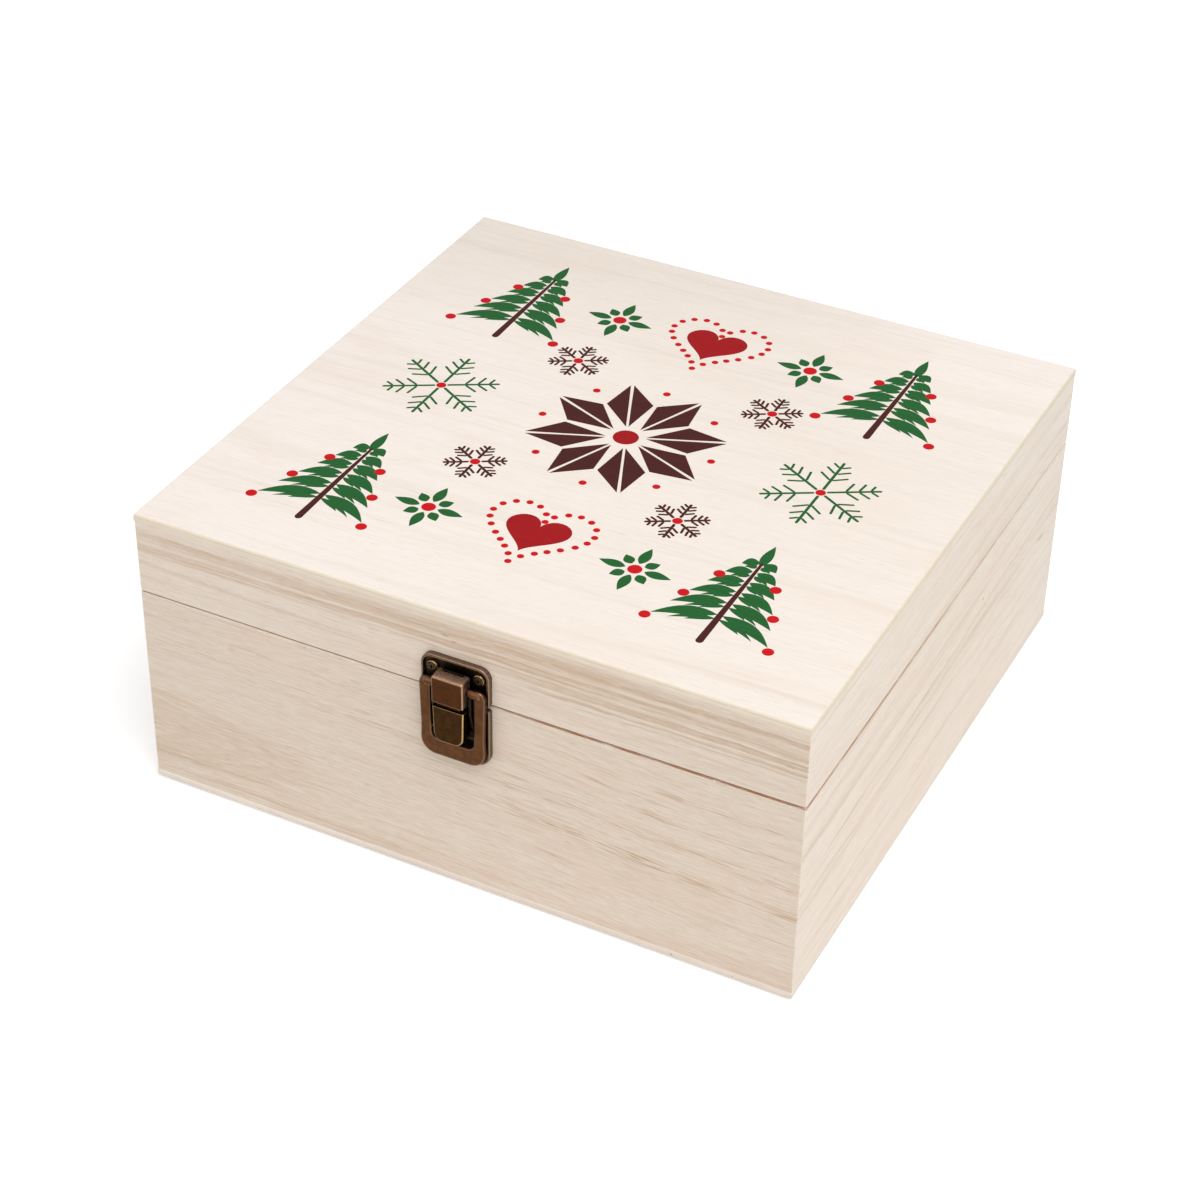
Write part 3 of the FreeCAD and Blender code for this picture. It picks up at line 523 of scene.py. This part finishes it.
# The hook's flank colour is painted light on its top and sides.
HOOK = bronze(
    "aged_bronze_hook",
    (0.064, 0.02, 0.004), (0.046, 0.016, 0.004), (0.4, 0.24, 0.15), 0.36, 0.05,
    edges=0.5, rim=0.7, lit_flank=(0.46, 0.31, 0.22), sides=0.6,
)
LINK = bronze(
    "rubbed_bronze_link",
    (0.042, 0.016, 0.0015), (0.024, 0.0095, 0.001), (0.46, 0.31, 0.14), 0.33, 0.04,
    edges=0.7, rim=0.95,
)
# Painted shade: pins and rivet ends made near-black where they sit in shade between the lever and
# the link.
SHADED_PIN = bronze(
    "pin_bronze_painted_shade",
    (0.03, 0.02, 0.014), (0.018, 0.013, 0.01), (0.1, 0.07, 0.045), 0.45, 0.04,
)
SCREW = bronze(
    "screw_bronze_head",
    (0.07, 0.05, 0.034), (0.03, 0.024, 0.02), (0.4, 0.28, 0.16), 0.36, 0.05,
)
RIMMED = bronze(
    "screw_bronze_rim",
    (0.035, 0.026, 0.019), (0.016, 0.013, 0.012), (0.34, 0.21, 0.09), 0.34, 0.05,
    edges=0.5, ring=(10.5, 12.4, 2.2),
)
HINGE = bronze(
    "aged_bronze_hinge",
    (0.1, 0.06, 0.034), (0.06, 0.038, 0.024), (0.36, 0.24, 0.14), 0.38, 0.05,
)
STEEL = bronze(
    "pin_steel",
    (0.36, 0.34, 0.31), (0.2, 0.18, 0.16), (0.62, 0.6, 0.57), 0.34, 0.03,
)

FINISHES = {
    "lid_front_wall": lid_front(),
    "body_front_wall": body_front(),
    "lid_right_wall": lid_right(),
    "body_right_wall": body_right(),
    "lid_left_wall": plain_board("left_lid_wood", "y", 1.4),
    "body_left_wall": plain_board("left_body_wood", "y", 2.3),
    "lid_back_wall": plain_board("back_lid_wood", "x", 1.9),
    "body_back_wall": plain_board("back_body_wood", "x", 2.7),
    "lid_top_panel": top_wood(),
    "bottom_panel": bottom_wood(),
    "keeper_plate": PLATE,
    "latch_base_plate": PLATE,
    "latch_lever": LEVER,
    "link_sleeve": LINK,
    "draw_hook": HOOK,
    "keeper_screws": RIMMED,
    "latch_base_screws": SCREW,
    "hinge_body_screws": SCREW,
    "hinge_lid_screws": SCREW,
    "lever_rivets": SHADED_PIN,
    "link_pin": SHADED_PIN,
    "bottom_brads": STEEL,
    "left_hinge_pin": STEEL,
    "right_hinge_pin": STEEL,
    "left_hinge_body_leaf": HINGE,
    "right_hinge_body_leaf": HINGE,
    "left_hinge_lid_leaf": HINGE,
    "right_hinge_lid_leaf": HINGE,
}
for name, finish in FINISHES.items():
    for holder in nodes[name].material_slots:
        holder.material = finish

# Print on the lid: a sampler of traditional motifs in thin ink


def ink(name, colour, grain_shade):
    """A matt ink through which the wood's fibres show a little."""
    paint = Graph(name)
    fibre = paint.noise(paint.cells(30, 0.8, 2), 3.0)
    shade = paint.mix(paint.rise(fibre, 0.35, 0.75, 0.0, 0.6), colour, grain_shade)
    paint.surface(shade, paint.rise(fibre, 0.2, 0.8, 0.55, 0.7), specular=0.1)
    paint.bump(fibre, 0.03, 0.4)
    return paint.material


# Each ink's material and how far it stands above the wood, in millimetres
INKS = {
    "green": (ink("ink_green", (0.014, 0.105, 0.024), (0.026, 0.15, 0.04)), 0.03),
    "brown": (ink("ink_brown", (0.058, 0.01, 0.008), (0.088, 0.022, 0.018)), 0.034),
    "red": (ink("ink_red", (0.6, 0.005, 0.01), (0.68, 0.018, 0.02)), 0.038),
    "wine": (ink("ink_wine", (0.35, 0.006, 0.009), (0.42, 0.016, 0.018)), 0.042),
}
LID_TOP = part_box("lid_top_panel")[1][2]
SUNK = 0.05 * MM


def turn(points, angle):
    c, s = math.cos(angle), math.sin(angle)
    return [(c * x - s * y, s * x + c * y) for x, y in points]


def shift(points, dx, dy):
    return [(x + dx, y + dy) for x, y in points]


def blade(start, end, width, bow=0.0, steps=12):
    """A leaf-like stroke, pointed at both ends, whose middle line bows to one side."""
    (x0, y0), (x1, y1) = start, end
    dx, dy = x1 - x0, y1 - y0
    length = math.hypot(dx, dy)
    nx, ny = -dy / length, dx / length
    left, right = [], []
    for step in range(steps + 1):
        t = step / steps
        lift = bow * length * 4 * t * (1 - t)
        half = 0.5 * width * math.sin(math.pi * t ** 0.8) if 0 < step < steps else 0.0
        x, y = x0 + dx * t + nx * lift, y0 + dy * t + ny * lift
        left.append((x + nx * half, y + ny * half))
        right.append((x - nx * half, y - ny * half))
    return left + right[-2:0:-1]


def bar(start, end, width, foot=None, steps=6):
    """A straight stroke with round ends, or with another width at its start."""
    (x0, y0), (x1, y1) = start, end
    heading = math.atan2(y1 - y0, x1 - x0)
    points = []
    ends = ((x1, y1, width / 2, 0.0), (x0, y0, (foot or width) / 2, math.pi))
    for x, y, radius, base in ends:
        for step in range(steps + 1):
            angle = heading + base - math.pi / 2 + math.pi * step / steps
            points.append((x + radius * math.cos(angle), y + radius * math.sin(angle)))
    return points


def disc(x, y, radius, steps=28):
    angles = [math.tau * step / steps for step in range(steps)]
    return [(x + radius * math.cos(angle), y + radius * math.sin(angle)) for angle in angles]


def heart(x, y, size, steps=48):
    points = []
    for step in range(steps):
        t = math.tau * step / steps
        px = 16 * math.sin(t) ** 3
        py = 13 * math.cos(t) - 5 * math.cos(2 * t) - 2 * math.cos(3 * t) - math.cos(4 * t)
        points.append((x + px * size / 32, y + (py + 2.5) * size / 32))
    return points[::-1]


def fir(shapes, x, y):
    """A fir tree with layered drooping boughs, a trunk and berries at the tips of some boughs."""
    shapes["brown"].append(bar((x, y - 34), (x, y + 24), 1.3, 3.2))
    shapes["green"].append(blade((x, y + 22), (x, y + 38), 4.6))
    tiers = ((24, 7.5), (17, 11), (9.5, 14.5), (1.5, 18), (-7, 21.5), (-16, 25))
    droop = 0.4
    for tier, (rise, reach) in enumerate(tiers):
        for side in (-1, 1):
            root = (x + side * 1.0, y + rise + 0.6)
            tip = (x + side * reach, y + rise - droop * reach)
            shapes["green"].append(blade(root, tip, 5.4 + 0.15 * tier, 0.09 * side))
            for share in (0.72, 0.46):
                drop = 3.0 * (1 - share) + 1.6
                root = (x + side * 1.0, y + rise - 0.8 - drop * 0.5)
                end = (x + side * reach * share, y + rise - droop * reach * share - drop)
                shapes["green"].append(blade(root, end, 2.6, 0.07 * side))
            if tier % 2 == 1:
                shapes["red"].append(disc(tip[0] + side * 1.2, tip[1] - 2.4, 2.4))


def flake(shapes, x, y, radius, ink_name):
    """A six-armed snow crystal."""
    for arm in range(6):
        angle = math.tau * arm / 6 + math.pi / 6
        strokes = [bar((3.2, 0), (radius, 0), 1.3)]
        for place, reach in ((0.42, 0.24), (0.64, 0.2), (0.84, 0.12)):
            for side in (-1, 1):
                root = (radius * place + 0.5, side * 1.05)
                out = radius * (place + reach * 0.6) + 0.5
                strokes.append(bar(root, (out, side * (1.05 + radius * reach * 0.8)), 1.1))
        shapes[ink_name] += [shift(turn(stroke, angle), x, y) for stroke in strokes]
    shapes["red"].append(disc(x, y, 2.2))


def rose(shapes, x, y, radius):
    """An eight-petalled star, each petal a pair of leaning blades about a bare vein."""
    for petal in range(8):
        angle = math.tau * petal / 8 + math.pi / 8
        for side in (-1, 1):
            half = [
                (radius * 0.2, side * 0.55),
                (radius * 0.62, side * radius * 0.235),
                (radius, side * 0.75),
                (radius * 0.6, side * 0.55),
            ]
            half = half if side < 0 else half[::-1]
            shapes["brown"].append(shift(turn(half, angle), x, y))
        dot = turn(disc(radius * 0.93, 0, 1.7), angle + math.pi / 8)
        shapes["red"].append(shift(dot, x, y))
    shapes["wine"].append(disc(x, y, radius * 0.13))


def banded_heart(shapes, x, y, size, beads=26):
    """A small heart inside an evenly spaced outline of dots."""
    shapes["wine"].append(heart(x, y, size * 0.62))
    line = heart(x, y, size, 240)
    line.append(line[0])
    steps = [math.dist(start, end) for start, end in zip(line, line[1:])]
    spacing = sum(steps) / beads
    travelled = spacing
    for point, step in zip(line, steps):
        if travelled >= spacing:
            travelled -= spacing
            shapes["red"].append(disc(*point, 1.5, 18))
        travelled += step


def star(shapes, x, y, size):
    """A small star of eight points, long and short by turns, about a dot."""
    for point in range(8):
        angle = math.tau * point / 8
        reach = size if point % 2 == 0 else size * 0.68
        tip = blade((size * 0.26, 0), (reach, 0), size * 0.3)
        shapes["green"].append(shift(turn(tip, angle), x, y))
    shapes["red"].append(disc(x, y, size * 0.19))


def sampler():
    """All the motifs, as polygons by ink."""
    shapes = {ink_name: [] for ink_name in INKS}
    for x in (-90, 90):
        for y in (-83, 83):
            fir(shapes, x, y)
        flake(shapes, x, 0, 25, "green")
    for y in (-84, 86):
        banded_heart(shapes, 0, y, 46)
    rose(shapes, 0, 0, 43)
    for x in (-47, 47):
        for y in (-47, 47):
            flake(shapes, x, y, 13, "brown")
        for y in (-86, 88):
            star(shapes, x, y, 16)
    return shapes


INSIDE_ONLY = 1
WELD = 0.0001


def add_piece(name, bm, material):
    """An object in the scene from a mesh in the making, its faces turned outward."""
    bmesh.ops.recalc_face_normals(bm, faces=bm.faces)
    mesh = bpy.data.meshes.new(name)
    bm.to_mesh(mesh)
    bm.free()
    mesh.materials.append(material)
    piece = bpy.data.objects.new(name, mesh)
    bpy.context.scene.collection.objects.link(piece)
    return piece


def print_piece(name, polygons, material, height):
    """One closed sheet of ink, the union of its shapes, sunk a little into the lid."""
    corners = []
    rings = []
    for points in polygons:
        pairs = zip(points, points[1:] + points[:1])
        area = sum(x0 * y1 - x1 * y0 for (x0, y0), (x1, y1) in pairs)
        rings.append(list(range(len(corners), len(corners) + len(points))))
        corners += [Vector(point) for point in (points if area > 0 else points[::-1])]
    flat, _, faces, *_ = delaunay_2d_cdt(corners, [], rings, INSIDE_ONLY, WELD)
    bm = bmesh.new()
    low = [bm.verts.new((x * MM, y * MM, LID_TOP - SUNK)) for x, y in flat]
    high = [bm.verts.new((x * MM, y * MM, LID_TOP + height)) for x, y in flat]
    sides = set()
    for face in faces:
        bm.faces.new([high[index] for index in face])
        bm.faces.new([low[index] for index in reversed(face)])
        sides.update(zip(face, face[1:] + face[:1]))
    for start, end in sorted(sides):
        if (end, start) not in sides:
            bm.faces.new((low[start], low[end], high[end], high[start]))
    loose = [vert for vert in bm.verts if not vert.link_faces]
    bmesh.ops.delete(bm, geom=loose, context="VERTS")
    piece = add_piece(name, bm, material)
    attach(piece, "lid")


motifs = sampler()
for ink_name, (paint, proud) in INKS.items():
    print_piece(f"print_{ink_name}", motifs[ink_name], paint, proud * MM)

# Splinters along the sawn edge of the lower box


def splinters():
    """A few pale slivers that the saw left along the front edge."""
    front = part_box("body_front_wall")[0][1]
    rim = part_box("body_front_wall")[1][2]
    side = Vector((0, 0, 0.2 * MM))
    out = Vector((0, -0.24 * MM, 0))
    bm = bmesh.new()
    for x, drop, length, lean in (
        (-92, 0.5, 3.2, 0.2),
        (-89.5, 0.9, 2.6, 0.9),
        (-86.5, 0.45, 1.8, -0.5),
        (-48, 0.7, 3.4, -0.55),
        (-46.6, 0.5, 1.8, 0.3),
        (-118, 0.45, 2.0, 0.1),
        (66, 0.5, 2.2, 0.15),
        (112, 0.5, 2.6, 0.1),
        (141, 0.6, 4.0, 0.12),
        (143.5, 0.9, 2.4, -0.3),
    ):
        middle = Vector((x * MM, front - 0.06 * MM, rim - drop * MM))
        forward = Vector((math.cos(lean), 0, math.sin(lean) * 0.6)) * length * MM / 2
        ring = [bm.verts.new(middle + offset) for offset in (-side, out, side, -out)]
        ends = [
            bm.verts.new(middle - forward - out),
            bm.verts.new(middle + forward + out * 0.6),
        ]
        for index in range(4):
            follow = (index + 1) % 4
            bm.faces.new((ring[index], ring[follow], ends[0]))
            bm.faces.new((ring[follow], ring[index], ends[1]))
    wood = Wood("splinter_wood", "x", "z", (0.93, 0.87, 0.8), 7)
    piece = add_piece("edge_splinters", bm, wood.finish(0.1))
    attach(piece, "box_body")


splinters()

# Floor, light and camera


def shown(tree):
    """1 for what the camera sees directly or in a reflection, and 0 for what lights the object."""
    path = tree.nodes.new("ShaderNodeLightPath")
    last = path.outputs["Is Camera Ray"]
    for name in ("Is Glossy Ray", "Is Transmission Ray"):
        most = tree.nodes.new("ShaderNodeMath")
        most.operation = "MAXIMUM"
        tree.links.new(last, most.inputs[0])
        tree.links.new(path.outputs[name], most.inputs[1])
        last = most.outputs[0]
    return last


FLOOR_RADIUS = 6.0
FLOOR_DROP = 0.2
FLOOR_GREY = (0.86, 0.86, 0.86, 1.0)
# What the camera sees of the floor is lifted to white with the distance from the box, in metres
GLOW = {"From Min": 0.3, "From Max": 1.5, "To Min": 0.42, "To Max": 1.0}


def floor():
    """A pale round floor just under the box, which keeps its shadow."""
    bpy.ops.mesh.primitive_circle_add(
        vertices=96, radius=FLOOR_RADIUS, fill_type="NGON", location=(0, 0, -FLOOR_DROP * MM)
    )
    plane = bpy.context.object
    plane.name = "studio_floor"
    material = bpy.data.materials.new("studio_floor")
    material.use_nodes = True
    tree = material.node_tree
    tree.nodes.clear()
    out = tree.nodes.new("ShaderNodeOutputMaterial")
    diffuse = tree.nodes.new("ShaderNodeBsdfDiffuse")
    diffuse.inputs["Color"].default_value = FLOOR_GREY
    glow = tree.nodes.new("ShaderNodeEmission")
    lift = tree.nodes.new("ShaderNodeMath")
    lift.operation = "MULTIPLY"
    tree.links.new(shown(tree), lift.inputs[0])
    place = tree.nodes.new("ShaderNodeTexCoord")
    reach = tree.nodes.new("ShaderNodeVectorMath")
    reach.operation = "LENGTH"
    tree.links.new(place.outputs["Object"], reach.inputs[0])
    glow_level = tree.nodes.new("ShaderNodeMapRange")
    glow_level.interpolation_type = "SMOOTHSTEP"
    tree.links.new(reach.outputs["Value"], glow_level.inputs["Value"])
    for name, value in GLOW.items():
        glow_level.inputs[name].default_value = value
    tree.links.new(glow_level.outputs["Result"], lift.inputs[1])
    tree.links.new(lift.outputs[0], glow.inputs["Strength"])
    both = tree.nodes.new("ShaderNodeAddShader")
    tree.links.new(diffuse.outputs[0], both.inputs[0])
    tree.links.new(glow.outputs[0], both.inputs[1])
    tree.links.new(both.outputs[0], out.inputs["Surface"])
    plane.data.materials.append(material)


def sky(level):
    """An even sky that lights at a level and looks white."""
    world = bpy.data.worlds.new("studio")
    bpy.context.scene.world = world
    world.use_nodes = True
    tree = world.node_tree
    background = next(node for node in tree.nodes if node.type == "BACKGROUND")
    background.inputs["Color"].default_value = (1.0, 1.0, 1.0, 1.0)
    strength = tree.nodes.new("ShaderNodeMapRange")
    tree.links.new(shown(tree), strength.inputs["Value"])
    strength.inputs["To Min"].default_value = level
    strength.inputs["To Max"].default_value = 1.0
    tree.links.new(strength.outputs["Result"], background.inputs["Strength"])


BOX_MIDDLE = Vector((0, 0, 0.07))


def softbox(name, place, size, power):
    """A square lamp that aims at the middle of the box."""
    lamp = bpy.data.lights.new(name, "AREA")
    lamp.shape = "SQUARE"
    lamp.size = size
    lamp.energy = power
    holder = bpy.data.objects.new(name, lamp)
    holder.location = place
    aim = BOX_MIDDLE - Vector(place)
    holder.rotation_euler = aim.to_track_quat("-Z", "Y").to_euler()
    bpy.context.scene.collection.objects.link(holder)


floor()
sky(level=0.42)
softbox("key_light", (0.85, -0.65, 1.85), size=1.4, power=30.0)
softbox("fill_light", (-1.1, -1.9, 0.9), size=1.6, power=5.0)


def camera():
    """The photograph's view: turned to the right, looking down, rolled by about a degree."""
    azimuth, elevation, roll = (math.radians(angle) for angle in (26.359, 35.443, 1.110))
    eye = Vector((0.43781, -0.90519, 0.76821))
    back = Vector(
        (
            math.sin(azimuth) * math.cos(elevation),
            -math.cos(azimuth) * math.cos(elevation),
            math.sin(elevation),
        )
    )
    level = Vector((math.cos(azimuth), math.sin(azimuth), 0))
    lift = back.cross(level)
    right = level * math.cos(roll) + lift * math.sin(roll)
    up = lift * math.cos(roll) - level * math.sin(roll)
    data = bpy.data.cameras.new("photo_camera")
    data.sensor_fit = "HORIZONTAL"
    data.sensor_width = 36.0
    data.lens = 83.72
    data.clip_end = 50.0
    holder = bpy.data.objects.new("photo_camera", data)
    holder.matrix_world = Matrix.Translation(eye) @ Matrix((right, up, back)).transposed().to_4x4()
    bpy.context.scene.collection.objects.link(holder)
    bpy.context.scene.camera = holder


camera()
bpy.context.scene.view_settings.view_transform = "Standard"

bpy.context.view_layer.update()
